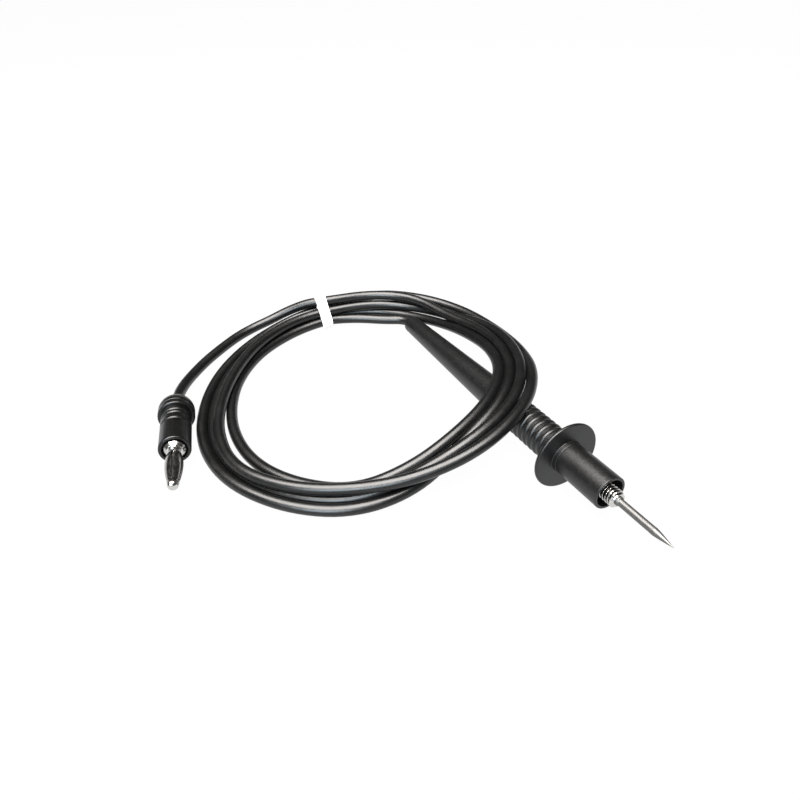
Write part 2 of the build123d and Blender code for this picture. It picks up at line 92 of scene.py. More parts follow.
# ---------------------------------------------------------------- material nodes
class Shader:
    """A material in the making: a Principled shader, and short ways to add nodes to it."""

    def __init__(self, name, colour, roughness, metallic=0.0):
        self.material = bpy.data.materials.new(name)
        self.material.use_nodes = True
        self.tree = self.material.node_tree
        self.principled = self.tree.nodes["Principled BSDF"]
        self.set("Base Color", (*colour, 1.0))
        self.set("Roughness", roughness)
        self.set("Metallic", metallic)

    def set(self, socket, value):
        self.principled.inputs[socket].default_value = value

    def node(self, kind, **inputs):
        made = self.tree.nodes.new(kind)
        for key, value in inputs.items():
            made.inputs[key.replace("_", " ")].default_value = value
        return made

    def link(self, out, into):
        self.tree.links.new(out, into)

    def local(self):
        """The piece's own coordinates, in mm: X along its axis."""
        node = self.node("ShaderNodeAttribute")
        node.attribute_name = "local"
        return node.outputs["Vector"]

    def shared(self):
        """The whole model's coordinates at rest, in metres."""
        return self.node("ShaderNodeTexCoord").outputs["Object"]

    def scaled(self, vector, scale):
        node = self.node("ShaderNodeMapping", Scale=scale)
        self.link(vector, node.inputs["Vector"])
        return node.outputs["Vector"]

    def noise(self, vector, scale, detail=4.0, roughness=0.55):
        node = self.node("ShaderNodeTexNoise", Scale=scale, Detail=detail, Roughness=roughness)
        self.link(vector, node.inputs["Vector"])
        return node.outputs["Fac"]

    def spread(self, value, low, high, from_low=0.3, from_high=0.7):
        """A value from a noise, mapped from its middle band to a range."""
        node = self.node(
            "ShaderNodeMapRange", From_Min=from_low, From_Max=from_high, To_Min=low, To_Max=high
        )
        self.link(value, node.inputs["Value"])
        return node.outputs["Result"]

    def ramp(self, value, stops):
        node = self.node("ShaderNodeValToRGB")
        elements = node.color_ramp.elements
        while len(elements) < len(stops):
            elements.new(0.5)
        for element, (position, colour) in zip(elements, stops):
            element.position = position
            element.color = (*colour, 1.0)
        self.link(value, node.inputs["Fac"])
        return node.outputs["Color"]

    def drive(self, socket, output):
        self.link(output, self.principled.inputs[socket])

    def bump(self, height, distance, strength):
        """Relief up to the distance, in metres, on top of any that the shader has already."""
        node = self.node("ShaderNodeBump", Strength=strength, Distance=distance)
        self.link(height, node.inputs["Height"])
        if self.principled.inputs["Normal"].is_linked:
            earlier = self.principled.inputs["Normal"].links[0].from_socket
            self.link(earlier, node.inputs["Normal"])
        self.link(node.outputs["Normal"], self.principled.inputs["Normal"])


def black_plastic(name, dark, pale, roughness, grain):
    """Moulded or turned black plastic: faint mottling, a fine skin, and paler rubbed places."""
    shader = Shader(name, dark, roughness)
    local = shader.local()
    mottle = shader.noise(local, 0.35, 3.0)
    shader.drive("Base Color", shader.ramp(mottle, ((0.35, dark), (0.75, pale))))
    rubbed = shader.noise(local, 1.4, 6.0, 0.65)
    shader.drive("Roughness", shader.spread(rubbed, roughness - 0.05, roughness + 0.09))
    shader.bump(shader.noise(local, grain, 2.0), 0.00002, 0.35)
    scratches = shader.noise(shader.scaled(local, (0.6, 9.0, 9.0)), 1.0, 8.0, 0.7)
    shader.bump(shader.spread(scratches, 0.0, 1.0, 0.62, 0.8), 0.000012, 0.25)
    return shader.material


def metal(name, colour, tint, roughness, lines, own_place=True):
    """Plated or ground metal: fine lines around the axis, faint stains, and painted shade darkening
    the hollows.
    """
    shader = Shader(name, colour, roughness, 1.0)
    local = shader.local() if own_place else shader.scaled(shader.shared(), (1 / MM,) * 3)
    stain = shader.noise(local, 0.9, 5.0, 0.6)
    stained = shader.ramp(stain, ((0.3, colour), (0.8, tint)))
    # painted shade: hollows deeper than 0.1 mm, mostly the thread's grooves, are darkened towards
    # near black
    depth = shader.node("ShaderNodeAttribute")
    depth.attribute_name = "hollow"
    groove_shade = shader.ramp(depth.outputs["Fac"], ((0.1, (1, 1, 1)), (0.34, (0.03, 0.03, 0.03))))
    # the random stains and the painted groove shade are multiplied into one base colour
    stained_and_shaded = shader.node("ShaderNodeMix")
    stained_and_shaded.data_type = "RGBA"
    stained_and_shaded.blend_type = "MULTIPLY"
    stained_and_shaded.inputs["Factor"].default_value = 1.0
    colours = [socket for socket in stained_and_shaded.inputs if socket.type == "RGBA"]
    shader.link(stained, colours[0])
    shader.link(groove_shade, colours[1])
    shader.drive("Base Color", next(socket for socket in stained_and_shaded.outputs if socket.type == "RGBA"))
    polish = shader.noise(shader.scaled(local, (lines, 0.6, 0.6)), 1.0, 5.0, 0.6)
    shader.drive("Roughness", shader.spread(polish, roughness * 0.75, roughness * 1.35))
    shader.bump(polish, 0.000006, 0.35)
    return shader.material


def jacket(name):
    """The cord's smooth flexible jacket: black, softly glossy, with a dusty skin."""
    shader = Shader(name, (0.005, 0.005, 0.005), 0.36)
    where = shader.shared()
    film = shader.noise(where, 160.0, 4.0, 0.6)
    dust = shader.noise(where, 900.0, 6.0, 0.7)
    clean, dusty = (0.001, 0.001, 0.001), (0.004, 0.004, 0.0042)
    shader.drive("Base Color", shader.ramp(dust, ((0.35, clean), (0.8, dusty))))
    shader.drive("Roughness", shader.spread(film, 0.3, 0.38))
    shader.bump(shader.noise(where, 420.0, 2.0), 0.00006, 0.3)
    shader.bump(dust, 0.000014, 0.35)
    return shader.material


def nylon(name):
    """Natural nylon: white, a little translucent and waxy."""
    shader = Shader(name, (0.82, 0.82, 0.8), 0.42)
    where = shader.local()
    cloud = shader.noise(where, 0.5, 3.0)
    bright, cloudy = (0.9, 0.9, 0.89), (0.86, 0.86, 0.845)
    shader.drive("Base Color", shader.ramp(cloud, ((0.3, bright), (0.8, cloudy))))
    shader.drive("Roughness", shader.spread(shader.noise(where, 2.0, 4.0), 0.34, 0.5))
    shader.set("Subsurface Weight", 0.25)
    shader.set("Subsurface Radius", (1.0, 1.0, 0.9))
    shader.set("Subsurface Scale", 0.0012)
    shader.bump(shader.noise(where, 7.0, 3.0), 0.00001, 0.5)
    return shader.material


# dark and pale colours, roughness, and the grain's fineness
PLASTICS = {
    "handle_plastic": ((0.002, 0.002, 0.0021), (0.004, 0.004, 0.0042), 0.36, 16.0),
    "plug_plastic": ((0.001, 0.001, 0.001), (0.003, 0.003, 0.003), 0.3, 14.0),
    "bush_plastic": ((0.03, 0.03, 0.03), (0.045, 0.045, 0.045), 0.5, 12.0),
    "shrink_sleeve": ((0.012, 0.012, 0.012), (0.02, 0.02, 0.02), 0.5, 10.0),
}
# bright and stained colours, roughness, and how many polishing lines there are in a mm
METALS = {
    "nickel_plate": ((0.66, 0.65, 0.63), (0.55, 0.54, 0.52), 0.22, 3.0),
    "spring_nickel": ((0.42, 0.41, 0.395), (0.34, 0.33, 0.315), 0.2, 0.5),
    "needle_steel": ((0.17, 0.168, 0.165), (0.13, 0.128, 0.126), 0.46, 9.0),
    "solder": ((0.6, 0.61, 0.62), (0.48, 0.48, 0.48), 0.28, 1.0),
    "copper_strand": ((0.8, 0.42, 0.24), (0.6, 0.28, 0.15), 0.28, 1.5),
}
MATERIALS = {name: black_plastic(name, *look_of) for name, look_of in PLASTICS.items()}
MATERIALS |= {name: metal(name, *look_of) for name, look_of in METALS.items()}
MATERIALS["screw_steel"] = metal(
    "screw_steel", (0.45, 0.45, 0.45), (0.36, 0.36, 0.35), 0.32, 4.0, own_place=False
)
MATERIALS["cord_jacket"] = jacket("cord_jacket")
MATERIALS["tie_nylon"] = nylon("tie_nylon")


# ---------------------------------------------------------------- making meshes
def filleted(corners, steps=5):
    """An outline of (station, radius[, round]) corners, with each round worked out as an arc."""
    out = []
    count = len(corners)
    for index, corner in enumerate(corners):
        here = Vector(corner[:2])
        wanted = corner[2] if len(corner) > 2 else 0.0
        if not wanted:
            out.append(here)
            continue
        back = Vector(corners[index - 1][:2]) - here
        onward = Vector(corners[(index + 1) % count][:2]) - here
        half = back.angle(onward) / 2
        reach = min(wanted / tan(half), 0.49 * back.length, 0.49 * onward.length)
        radius = reach * tan(half)
        start = here + back.normalized() * reach
        end = here + onward.normalized() * reach
        inward = (back.normalized() + onward.normalized()).normalized()
        centre = here + inward * (radius / sin(half))
        for step in range(steps + 1):
            mix = step / steps
            spoke = (start - centre).slerp(end - centre, mix).normalized()
            out.append(centre + spoke * radius)
    return out


def finish_mesh(name, builder, place, slot, body, node, sharp=35):
    """Put a bmesh in mm in its place, as a piece that stands for a CAD node.

    Edges of more than sharp degrees stay sharp.
    """
    bmesh.ops.recalc_face_normals(builder, faces=builder.faces)
    mesh = bpy.data.meshes.new(name)
    builder.to_mesh(mesh)
    builder.free()
    local = mesh.attributes.new("local", "FLOAT_VECTOR", "POINT")
    for vertex, value in zip(mesh.vertices, local.data):
        value.vector = vertex.co
    mesh.transform(place @ Matrix.Scale(MM, 4))
    mesh.shade_smooth()
    mesh.set_sharp_from_angle(angle=radians(sharp))
    piece = bpy.data.objects.new(name, mesh)
    scene.collection.objects.link(piece)
    mesh.materials.append(MATERIALS[slot])
    weighted = piece.modifiers.new("even_normals", "WEIGHTED_NORMAL")
    weighted.keep_sharp = True
    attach(piece, body)
    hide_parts(node)


ON_AXIS = 1e-6


def turned(outline, steps, relief=None, closed=True):
    """A bmesh of an outline of (station, radius) in mm, turned about X in so many steps.

    relief(s, r, angle) is added to a radius, and what it takes away is kept as the hollow's depth,
    from which the metals paint shade into the grooves.
    """
    builder = bmesh.new()
    hollow = builder.verts.layers.float.new("hollow")
    rings = []
    for s, r in outline:
        if r <= ON_AXIS:
            rings.append([builder.verts.new((s, 0, 0))])
            continue
        ring = []
        for step in range(steps):
            angle = 2 * pi * step / steps
            raised = relief(s, r, angle) if relief else 0.0
            radius = r + raised
            ring.append(builder.verts.new((s, radius * cos(angle), radius * sin(angle))))
            ring[-1][hollow] = max(0.0, -raised)
        rings.append(ring)
    pairs = list(zip(rings, rings[1:]))
    if closed:
        pairs.append((rings[-1], rings[0]))
    for one, two in pairs:
        if len(one) == 1 and len(two) == 1:
            continue
        for step in range(steps):
            after = (step + 1) % steps
            corners = [one[step % len(one)], one[after % len(one)]]
            corners += [two[after % len(two)], two[step % len(two)]]
            face = list(dict.fromkeys(corners))
            if len(face) > 2:
                builder.faces.new(face)
    return builder


def even(start, end, spacing):
    """Stations from start to end, both included, about a spacing apart."""
    count = max(1, ceil(abs(end - start) / spacing))
    return [start + (end - start) * k / count for k in range(count + 1)]


# the shares of half a pitch that a thread's crest and its flank take; its root has the rest
CREST_SHARE, FLANK_SHARE = 0.4, 0.42
# how near a radius in mm has to be to a threaded or knurled surface's own
ON_SURFACE = 0.01


def thread(pitch, depth, start, end, outer, fade):
    """Relief of a right-hand thread cut into the surface at radius outer, fading at its ends."""

    def relief(s, r, angle):
        if not start < s < end or abs(r - outer) > ON_SURFACE:
            return 0.0
        phase = (s / pitch - angle / (2 * pi)) % 1.0
        flank = abs(2 * phase - 1)
        cut = min(1.0, max(0.0, (flank - CREST_SHARE) / FLANK_SHARE))
        ease = min(1.0, (s - start) / fade, (end - s) / fade)
        return -depth * cut * ease

    return relief


# ---------------------------------------------------------------- the cord
# Everything here is in mm but the length. The cord passes the tie five times: where it enters the
# coil, after each of its first three turns, and where it leaves.
CORD_R = 1.8
COIL_CENTRE = (-36.9, -32.0)
TIE_ANGLE = 176
TIE_SLOTS = ((46.8, 3.0), (50.4, 3.0), (48.4, 6.2), (52.0, 6.2), (50.2, 9.8))
# the angle about the coil's centre, then the radius and height of each of the four turns
COIL_TURNS = (
    (193, (46.5, 2.1), (50.2, 2.2), (48.3, 5.6), (53.7, 2.8)),
    (213, (46.0, 1.8), (49.7, 1.8), (47.0, 5.2), (53.1, 1.9)),
    (233, (45.0, 1.8), (49.3, 1.8), (45.6, 5.3), (52.8, 1.8)),
    (253, (44.6, 1.8), (50.0, 1.8), (46.8, 4.9), (53.5, 1.8)),
    (273, (45.6, 1.8), (52.0, 1.8), (50.2, 4.9), (55.5, 1.9)),
    (293, (46.9, 1.8), (53.2, 1.8), (53.7, 5.4), (56.8, 2.9)),
    (313, (46.9, 1.8), (51.9, 1.8), (51.7, 5.4), (55.6, 2.0)),
    (333, (46.8, 2.3), (50.4, 2.0), (50.0, 6.1), (54.1, 1.8)),
    (353, (45.1, 6.6), (48.1, 6.4), (51.4, 8.7), (50.1, 3.3)),
    (13, (43.9, 11.2), (50.0, 12.8), (54.5, 13.4), (46.3, 9.3)),
    (33, (44.2, 13.7), (51.3, 14.9), (55.3, 16.1), (47.7, 13.8)),
    (53, (44.1, 14.1), (50.9, 14.8), (54.3, 14.3), (47.5, 14.2)),
    (73, (42.6, 12.2), (49.8, 13.2), (53.2, 10.3), (46.2, 12.7)),
    (93, (41.8, 9.2), (49.4, 10.8), (52.8, 8.1), (45.4, 10.7)),
    (113, (44.1, 5.7), (48.8, 6.9), (54.0, 7.6), (44.9, 9.0)),
    (133, (47.4, 3.0), (50.2, 5.8), (53.9, 8.2), (49.8, 10.1)),
    (153, (50.1, 2.9), (48.5, 6.8), (53.7, 8.4), (50.2, 10.1)),
)
COIL_STEP = 20
TAIL_STRAIGHT_S, CAP_STRAIGHT_U = -96.5, -31.5
TAIL = PROBE @ Vector((TAIL_S * MM, 0, 0)) / MM
TAIL_STRAIGHT = PROBE @ Vector((TAIL_STRAIGHT_S * MM, 0, 0)) / MM
CAP_REAR = PLUG @ Vector((CAP_REAR_U * MM, 0, 0)) / MM
CAP_STRAIGHT = PLUG @ Vector((CAP_STRAIGHT_U * MM, 0, 0)) / MM
EXIT_ROUTE = (TAIL, TAIL_STRAIGHT, (-73.2, -7.6, 2.6), (-79.0, -15.6, 2.6), (-82.2, -23.0, 2.8))
LEAD_ROUTE = (
    (-89.7, -33.8, 9.0), (-92.6, -41.0, 6.3), (-93.6, -48.2, 3.7), (-93.4, -55.6, 2.3),
    (-90.7, -62.8, 1.85), (-85.7, -69.8, 1.85), (-79.9, -76.9, 1.9), (-73.3, -83.0, 2.1),
    (-66.8, -87.2, 3.1), CAP_STRAIGHT, CAP_REAR,
)


def around_coil(angle, radius, height):
    a, (x, y) = radians(angle), COIL_CENTRE
    return Vector((x + radius * cos(a), y + radius * sin(a), height))


def cord_points():
    """The cord from the probe's tail, through the tie and four turns, and on to the plug.

    The spline cuts inside the coil's corners, so its points there lie further out than the turns.
    """
    points = [Vector(p) for p in EXIT_ROUTE]
    outward = 1 / cos(radians(COIL_STEP / 2))
    for turn in range(4):
        points.append(around_coil(TIE_ANGLE, *TIE_SLOTS[turn]))
        for station in COIL_TURNS:
            radius, height = station[1 + turn]
            points.append(around_coil(station[0], radius * outward, height))
    points.append(around_coil(TIE_ANGLE, *TIE_SLOTS[4]))
    points += [Vector(p) for p in LEAD_ROUTE]
    return points


def make_cord():
    curve = bpy.data.curves.new("test_lead", "CURVE")
    curve.dimensions = "3D"
    spline = curve.splines.new("NURBS")
    points = cord_points()
    spline.points.add(len(points) - 1)
    for point, target in zip(spline.points, points):
        point.co = (*(target * MM), 1.0)
    spline.order_u = 3
    spline.use_endpoint_u = True
    spline.resolution_u = 8
    curve.bevel_depth = CORD_R * MM
    curve.bevel_resolution = 7
    curve.use_fill_caps = True
    cord = bpy.data.objects.new("test_lead", curve)
    scene.collection.objects.link(cord)
    curve.materials.append(MATERIALS["cord_jacket"])
    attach(cord, "probe_and_lead")
    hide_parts("cord_exit", "cord_coil", "cord_lead")
    return cord


cord = make_cord()


# ---------------------------------------------------------------- the probe
TAIL_R, BORE_R = 3.15, 1.9
TAPER_END_S, TAPER_END_R = -26.0, 5.1
GRIP_START_S, GRIP_END_S, GRIP_ROOT_R = -22.7, -2.4, 4.85
RIB_PITCH, RIB_COUNT, FIRST_RIB_S = 2.25, 9, -3.6
RIB_R, RIB_CREST_R = 0.85, 5.28
COLLAR_R = 5.15
GUARD_R, GUARD_HALF, GUARD_EDGE = 10.2, 0.5, 0.38
BOSS_R, BOSS_END_S = 5.0, 1.9
SPIGOT_R, SPIGOT_END_S = 3.9, 8.5
CHAMBER_START_S, HANDLE_CHAMBER_R = -17.0, 3.0
NOSE_R, NOSE_BORE_R, NOSE_END_S = 4.85, 4.05, 17.2
WEB_START_S, WEB_END_S, WEB_HOLE_R = 9.5, 10.5, 2.515
STUD_R, STUD_END_S, FLANGE_R = 2.415, 20.2, 3.7
THREAD_PITCH, THREAD_DEPTH = 0.93, 0.48
CUP_START_S, CUP_FLOOR_S, CUP_END_S, CUP_R, CUP_BORE_R = -6.0, -0.5, 1.0, 2.1, 0.95
KNURL_R, KNURL_DEPTH, KNURL_COUNT, KNURL_LEAN = 2.9, 0.07, 12, 2.4
NEEDLE_R, NEEDLE_ROOT_S, SHOULDER_R = 1.03, 12.5, 1.3
SHAFT_START_S, SHAFT_END_S, CONE_START_S, NEEDLE_TIP_S = 24.0, 31.0, 31.8, 37.6


def make_handle():
    slope = (TAPER_END_R - TAIL_R) / (TAPER_END_S - TAIL_S)
    corners = [(TAIL_S, BORE_R, 0.2), (TAIL_S, TAIL_R, 0.5)]
    corners += [(s, TAIL_R + slope * (s - TAIL_S)) for s in even(TAIL_S + 2, TAPER_END_S, 6)]
    corners += [(GRIP_START_S, TAPER_END_R, 0.3), (GRIP_START_S, GRIP_ROOT_R, 0.1)]
    centre_r = RIB_CREST_R - RIB_R
    reach = sqrt(RIB_R**2 - (GRIP_ROOT_R - centre_r) ** 2)
    for rib in reversed(range(RIB_COUNT)):
        middle = FIRST_RIB_S - rib * RIB_PITCH
        for x in even(-reach, reach, reach / 6):
            corners.append((middle + x, centre_r + sqrt(RIB_R**2 - x**2)))
    corners += [
        (GRIP_END_S, GRIP_ROOT_R, 0.1), (GRIP_END_S, COLLAR_R, 0.2), (-GUARD_HALF, COLLAR_R, 0.3),
        (-GUARD_HALF, GUARD_R, GUARD_EDGE), (GUARD_HALF, GUARD_R, GUARD_EDGE),
        (GUARD_HALF, BOSS_R, 0.2), (BOSS_END_S, BOSS_R, 0.15), (BOSS_END_S, SPIGOT_R, 0.1),
        (SPIGOT_END_S, SPIGOT_R, 0.3), (SPIGOT_END_S, HANDLE_CHAMBER_R, 0.2),
        (CHAMBER_START_S, HANDLE_CHAMBER_R), (CHAMBER_START_S, BORE_R),
    ]
    builder = turned(filleted(corners), 160)
    finish_mesh(
        "handle_shell", builder, PROBE, "handle_plastic", "probe_and_lead", "probe_handle"
    )


def make_nose():
    outline = filleted([
        (BOSS_END_S, SPIGOT_R), (BOSS_END_S, NOSE_R, 0.12), (NOSE_END_S, NOSE_R, 0.22),
        (NOSE_END_S, NOSE_BORE_R, 0.12), (WEB_END_S, NOSE_BORE_R, 0.3),
        (WEB_END_S, WEB_HOLE_R, 0.1), (WEB_START_S, WEB_HOLE_R), (WEB_START_S, SPIGOT_R),
    ])
    builder = turned(outline, 160)
    finish_mesh("nose_barrel", builder, PROBE, "handle_plastic", "probe_and_lead", "nose_sleeve")


def make_stud():
    cup = filleted([
        (CUP_START_S, CUP_BORE_R), (CUP_START_S, CUP_R, 0.15), (CUP_END_S, CUP_R),
        (CUP_END_S, KNURL_R, 0.2),
    ])
    knurl_start, knurl_end = CUP_END_S + 0.3, SPIGOT_END_S - 0.3
    knurl = [Vector((s, KNURL_R)) for s in even(knurl_start, knurl_end, 0.3)]
    flange = filleted([
        (SPIGOT_END_S, KNURL_R), (SPIGOT_END_S, FLANGE_R, 0.15), (WEB_START_S, FLANGE_R, 0.15),
        (WEB_START_S, STUD_R), (WEB_START_S + 0.1, STUD_R),
    ])[1:]
    shank = [Vector((s, STUD_R)) for s in even(WEB_START_S + 0.2, STUD_END_S - 0.5, 0.058)]
    tip = filleted([
        (STUD_END_S - 0.48, STUD_R), (STUD_END_S, STUD_R - 0.5, 0.1), (STUD_END_S, NEEDLE_R),
        (NEEDLE_ROOT_S, NEEDLE_R), (NEEDLE_ROOT_S, 0.0), (CUP_FLOOR_S, 0.0),
        (CUP_FLOOR_S, CUP_BORE_R),
    ])
    screw = thread(THREAD_PITCH, THREAD_DEPTH, WEB_END_S, STUD_END_S, STUD_R, 0.1)

    def relief(s, r, angle):
        if knurl_start - 0.1 < s < knurl_end + 0.1 and abs(r - KNURL_R) < ON_SURFACE:
            around, along = KNURL_COUNT * angle, KNURL_LEAN * s
            return KNURL_DEPTH * (abs(sin(around + along)) + abs(sin(around - along)) - 1)
        return screw(s, r, angle)

    builder = turned(cup + knurl + flange + shank + tip, 120, relief)
    finish_mesh(
        "threaded_stud", builder, PROBE, "nickel_plate", "probe_and_lead", "tip_stud", sharp=50
    )


def make_needle():
    root = filleted([
        (NEEDLE_ROOT_S, 0.0), (NEEDLE_ROOT_S, NEEDLE_R), (STUD_END_S, NEEDLE_R),
        (STUD_END_S, SHOULDER_R, 0.08), (STUD_END_S + 0.4, SHOULDER_R, 0.15),
        (STUD_END_S + 0.7, NEEDLE_R, 0.2), (SHAFT_START_S, NEEDLE_R),
    ])
    shaft = [Vector((s, NEEDLE_R)) for s in even(SHAFT_START_S + 2, SHAFT_END_S, 2.5)]
    cone = []
    for s in even(CONE_START_S, NEEDLE_TIP_S - 0.15, 0.35):
        t = (s - CONE_START_S) / (NEEDLE_TIP_S - CONE_START_S)
        cone.append(Vector((s, NEEDLE_R * (1 - t**1.25) + 0.02)))
    point = [Vector((NEEDLE_TIP_S - 0.04, 0.03)), Vector((NEEDLE_TIP_S, 0.0))]
    builder = turned(root + shaft + cone + point, 72, closed=False)
    finish_mesh("needle_tip", builder, PROBE, "needle_steel", "probe_and_lead", "needle", sharp=50)


make_handle()
make_nose()
make_stud()
make_needle()


# ---------------------------------------------------------------- the plug
PLUG_R, CAP_R, CAP_END_R = 4.6, 5.6, 3.3
PLUG_RECESS_R, PLUG_SPIGOT_R, CAP_BORE_R = 3.7, 4.05, 4.12
CAP_FRONT_U, CAP_SHOULDER_U, CAP_WALL_U = -18.4, -21.4, -24.4
SPIGOT_REAR_U, CLAMP_START_U, PLUG_STEP_U = -23.4, -16.0, -3.2
BARREL_GROOVES, CAP_GROOVES = (-11.1, -14.4, -16.2), (-21.0,)
GROOVE_DEPTH, GROOVE_HALF, GROOVE_ROUND = 0.3, 0.36, 0.12
PLUG_CHAMBER_R, CLAMP_R, CORD_HOLE_R = 3.0, 2.6, 2.1
CAP_THREAD_PITCH, CAP_THREAD_DEPTH = 0.75, 0.32
PIN_R, HEAD_R, PIN_FLANGE_R, HEAD_START_U, PLUG_TIP_U = 1.15, 1.5, 3.1, 16.5, 17.8
CLAMP_BORE_R, CLAMP_FLOOR_U, PIN_FLANGE_U = 0.85, -7.0, 0.9


def grooved(stations, radius):
    """Corners of rounded grooves turned into a surface, from the front one to the rear one."""
    corners = []
    for u in stations:
        for x, depth in ((1, 0), (1 / 3, GROOVE_DEPTH), (-1 / 3, GROOVE_DEPTH), (-1, 0)):
            corners.append((u + x * GROOVE_HALF, radius - depth, GROOVE_ROUND))
    return corners


def make_plug_sleeve():
    corners = [(0, PLUG_RECESS_R, 0.1), (0, PLUG_R, 0.38), (-1.2, PLUG_R)]
    corners += grooved(BARREL_GROOVES, PLUG_R)
    corners += [(CAP_FRONT_U, PLUG_R, 0.1), (CAP_FRONT_U, PLUG_SPIGOT_R)]
    stations = even(CAP_FRONT_U - 0.2, SPIGOT_REAR_U + 0.3, 0.07)
    spigot = [Vector((s, PLUG_SPIGOT_R)) for s in stations]
    rear = filleted([
        (SPIGOT_REAR_U + 0.2, PLUG_SPIGOT_R), (SPIGOT_REAR_U, PLUG_SPIGOT_R - 0.2),
        (SPIGOT_REAR_U, PLUG_CHAMBER_R), (CLAMP_START_U - 0.5, PLUG_CHAMBER_R),
        (CLAMP_START_U - 0.5, CLAMP_R), (PLUG_STEP_U, CLAMP_R), (PLUG_STEP_U, PLUG_RECESS_R),
    ])
    relief = thread(
        CAP_THREAD_PITCH, CAP_THREAD_DEPTH, SPIGOT_REAR_U + 0.1, CAP_FRONT_U - 0.1,
        PLUG_SPIGOT_R, 0.5,
    )
    builder = turned(filleted(corners) + spigot + rear, 144, relief)
    finish_mesh("plug_barrel", builder, PLUG, "plug_plastic", "probe_and_lead", "plug_sleeve")


def make_plug_cap():
    front = filleted([
        (CAP_FRONT_U, CAP_BORE_R, 0.1), (CAP_FRONT_U, CAP_R, 0.4), (CAP_FRONT_U - 1.0, CAP_R),
        *grooved(CAP_GROOVES, CAP_R),
    ])
    depth, rise = CAP_SHOULDER_U - CAP_REAR_U, CAP_R - CAP_END_R
    dome = []
    for a in even(0.05, pi / 2, 0.1):
        dome.append(Vector((CAP_SHOULDER_U - depth * sin(a), CAP_END_R + rise * cos(a))))
    rear = filleted([
        (CAP_REAR_U, CAP_END_R), (CAP_REAR_U, CORD_HOLE_R, 0.15), (CAP_WALL_U, CORD_HOLE_R),
        (CAP_WALL_U, CAP_BORE_R),
    ])[1:]
    builder = turned(front + dome + rear, 144)
    finish_mesh("plug_cap_shell", builder, PLUG, "plug_plastic", "cap", "plug_cap")


def make_contact_spring():
    """Four sprung leaves between two collars, round the plug's pin."""
    first_u, start, end, last_u = 1.1, 1.6, 15.4, 16.3
    inner, outer, thick, bulge = 1.2, 1.55, 0.28, 2.5
    slot, slot_margin = 0.95, 0.3
    leaves, columns = 4, 10
    builder = bmesh.new()
    stations = even(first_u, start, 0.5) + even(start, end, 0.28)[1:] + even(end, last_u, 0.5)[1:]

    def radius(s):
        if s <= start or s >= end:
            return outer
        t = (s - start) / (end - start)
        return outer + (bulge - outer) * sin(pi * t**0.8) ** 0.85

    def gap(s):
        """Half the slot's width at a station."""
        reach = slot / 2
        inside = min(s - start, end - s) - slot_margin
        if inside <= 0:
            return 0.0
        if inside < reach:
            return sqrt(reach**2 - (reach - inside) ** 2)
        return reach

    rows = []
    for s in stations:
        r = radius(s)
        wall = outer - inner if s <= start or s >= end else thick
        half = pi / leaves - gap(s) / r
        row = []
        for leaf in range(leaves):
            centre = (2 * leaf + 1) * pi / leaves
            for column in range(columns + 1):
                angle = centre - half + 2 * half * column / columns
                row.append([(s, q * cos(angle), q * sin(angle)) for q in (r, r - wall)])
        rows.append(row)
    grid = [[[builder.verts.new(p) for p in pair] for pair in row] for row in rows]
    firsts = [leaf * (columns + 1) for leaf in range(leaves)]
    for one, two in zip(grid, grid[1:]):
        for first in firsts:
            for k in range(first, first + columns):
                for side in (0, 1):
                    corners = (one[k][side], one[k + 1][side], two[k + 1][side], two[k][side])
                    builder.faces.new(corners)
            for k in (first, first + columns):
                builder.faces.new((one[k][0], one[k][1], two[k][1], two[k][0]))
    for row in (grid[0], grid[-1]):
        for first in firsts:
            for k in range(first, first + columns):
                builder.faces.new((row[k][0], row[k + 1][0], row[k + 1][1], row[k][1]))
    # in the collars the leaves meet: their edge points merge, and of their walls one a seam stays
    bmesh.ops.remove_doubles(builder, verts=builder.verts, dist=0.002)
    finish_mesh(
        "contact_leaves", builder, PLUG, "spring_nickel", "spring", "contact_spring", sharp=40
    )


def make_plug_core():
    corners = [
        (CLAMP_FLOOR_U, 0.0), (CLAMP_FLOOR_U, CLAMP_BORE_R), (CLAMP_START_U, CLAMP_BORE_R),
        (CLAMP_START_U, CLAMP_R), (PLUG_STEP_U, CLAMP_R), (PLUG_STEP_U, PIN_FLANGE_R),
        (0.0, PIN_FLANGE_R, 0.15), (PIN_FLANGE_U, PIN_FLANGE_R - 0.8, 0.2), (PIN_FLANGE_U, PIN_R),
        (HEAD_START_U, PIN_R), (HEAD_START_U, HEAD_R, 0.1), (HEAD_START_U + 0.3, HEAD_R),
    ]
    dome_start = HEAD_START_U + 0.2
    depth = PLUG_TIP_U - dome_start
    dome = []
    for a in even(radians(15), radians(82), 0.12):
        dome.append(Vector((dome_start + depth * sin(a), HEAD_R * cos(a))))
    tip = [Vector((PLUG_TIP_U, 0.0))]
    builder = turned(filleted(corners) + dome + tip, 96, closed=False)
    finish_mesh("plug_pin", builder, PLUG, "nickel_plate", "probe_and_lead", "plug_core", sharp=50)


def make_bush():
    outer, nose, bore = 3.9, 2.9, CORD_R + 0.08
    rear, shoulder = CAP_WALL_U + 0.05, SPIGOT_REAR_U - 0.05
    chamfer, front = SPIGOT_REAR_U + 1.4, SPIGOT_REAR_U + 2.4
    outline = filleted([
        (rear, bore, 0.2), (rear, outer, 0.2), (shoulder, outer, 0.2), (shoulder, nose),
        (chamfer, nose, 0.3), (front, nose - 0.6, 0.2), (front, bore, 0.1),
    ])
    finish_mesh("bush_collar", turned(outline, 96), PLUG, "bush_plastic", "bush", "cord_bush")


make_plug_sleeve()
make_plug_cap()
make_contact_spring()
make_plug_core()
make_bush()


# ---------------------------------------------------------------- inside the handle and the plug
JACKET_END_S, PLUG_STRANDS_END_U = -9.0, -7.5
CORE_R = 0.75


